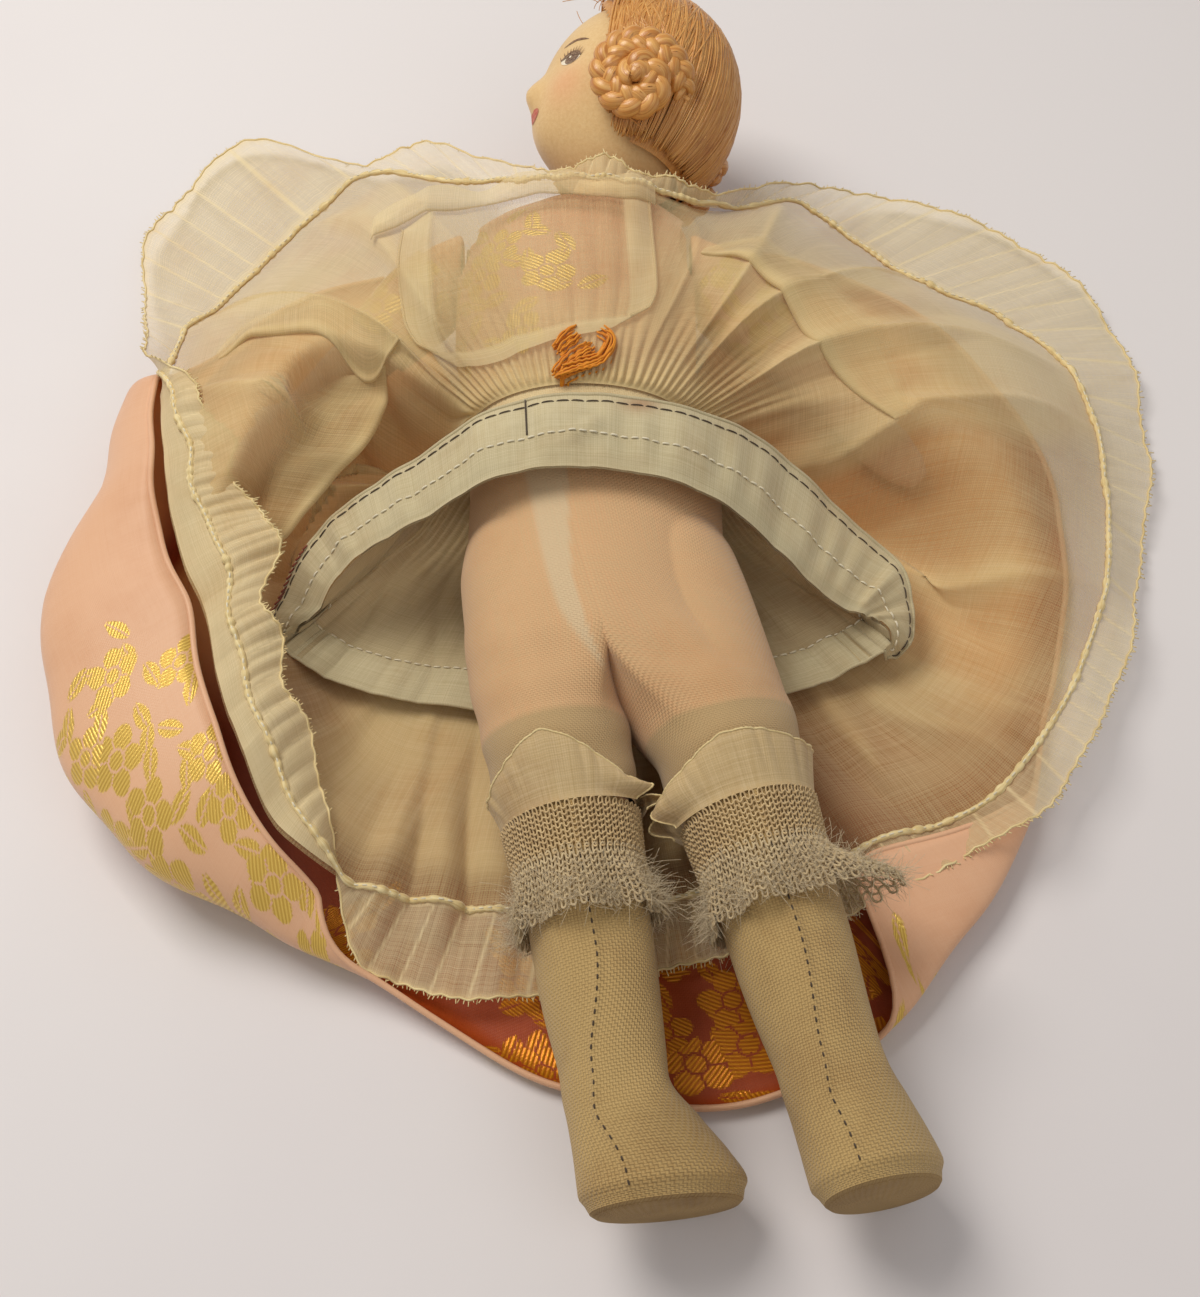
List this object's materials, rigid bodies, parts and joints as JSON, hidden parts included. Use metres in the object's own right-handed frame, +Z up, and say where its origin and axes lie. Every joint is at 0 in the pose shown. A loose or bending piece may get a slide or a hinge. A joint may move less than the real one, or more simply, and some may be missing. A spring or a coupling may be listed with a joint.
{
  "type": "felt doll",
  "caption": "Jointed felt doll in a brocade skirt and gauze petticoats, lying face down with the skirts spread round it, head turned to its left and a plait coiled over each ear.",
  "frame": {"origin": "middle of the footprint on the table, at table height", "axes": "+Y towards the head, +Z up off the table, the doll's left side towards -X"},
  "size_m": [0.2726, 0.3184, 0.0679],
  "materials": {
    "body_cloth": "matt cotton",
    "felt": "matt felt",
    "face_felt": "pressed felt",
    "hair": "glossy combed mohair",
    "brocade": "satin with woven gold",
    "gauze": "sheer stiffened gauze",
    "pale_gauze": "sheer soft gauze",
    "stocking_cotton": "matt cotton",
    "lace_yarn": "knitted mohair",
    "fibre_board": "pressed fibre",
    "pin_wire": "bright wire"
  },
  "bodies": {
    "trunk": {"torso": "body_cloth", "bodice": "brocade", "waistband": "brocade", "drawers_seat": "pale_gauze", "skirt": "brocade", "petticoat": "gauze", "petticoat_ruffle": "gauze", "under_petticoat": "pale_gauze", "neck_trunk_disc": "fibre_board", "neck_pin": "pin_wire", "left_shoulder_trunk_disc": "fibre_board", "left_shoulder_pin": "pin_wire", "right_shoulder_trunk_disc": "fibre_board", "right_shoulder_pin": "pin_wire", "left_hip_trunk_disc": "fibre_board", "left_hip_pin": "pin_wire", "right_hip_trunk_disc": "fibre_board", "right_hip_pin": "pin_wire"},
    "head": {"head": "face_felt", "neck": "face_felt", "wig_cap": "hair", "left_braid_coil": "hair", "right_braid_coil": "hair", "neck_limb_disc": "fibre_board"},
    "left_arm": {"left_arm": "felt", "left_sleeve": "brocade", "left_shoulder_limb_disc": "fibre_board"},
    "left_leg": {"left_leg": "felt", "left_drawers_leg": "pale_gauze", "left_stocking": "stocking_cotton", "left_insole": "fibre_board", "left_hem_flap": "gauze", "left_lace_band": "lace_yarn", "left_lace_frill": "lace_yarn", "left_hip_limb_disc": "fibre_board"},
    "right_arm": {"right_arm": "felt", "right_sleeve": "brocade", "right_shoulder_limb_disc": "fibre_board"},
    "right_leg": {"right_leg": "felt", "right_drawers_leg": "pale_gauze", "right_stocking": "stocking_cotton", "right_insole": "fibre_board", "right_hem_flap": "gauze", "right_lace_band": "lace_yarn", "right_lace_frill": "lace_yarn", "right_hip_limb_disc": "fibre_board"}
  },
  "joints": [
    {"name": "neck_turn", "type": "hinge", "parent": "trunk", "child": "head", "pos_m": [-0.00598, 0.09423, 0.031], "axis": [0.2382, 0.9556, 0.1736], "range_deg": [-75, 15]},
    {"name": "left_shoulder_swing", "type": "hinge", "parent": "trunk", "child": "left_arm", "pos_m": [-0.04078, 0.07723, 0.029], "axis": [-1, 0, 0], "range_deg": [0, 20]},
    {"name": "right_shoulder_swing", "type": "hinge", "parent": "trunk", "child": "right_arm", "pos_m": [0.01682, 0.07723, 0.029], "axis": [-1, 0, 0], "range_deg": [0, 20]},
    {"name": "left_hip_swing", "type": "hinge", "parent": "trunk", "child": "left_leg", "pos_m": [-0.01728, -0.01677, 0.029], "axis": [-1, 0, 0], "range_deg": [0, 35]},
    {"name": "right_hip_swing", "type": "hinge", "parent": "trunk", "child": "right_leg", "pos_m": [0.00532, -0.01677, 0.029], "axis": [-1, 0, 0], "range_deg": [0, 35]}
  ]
}
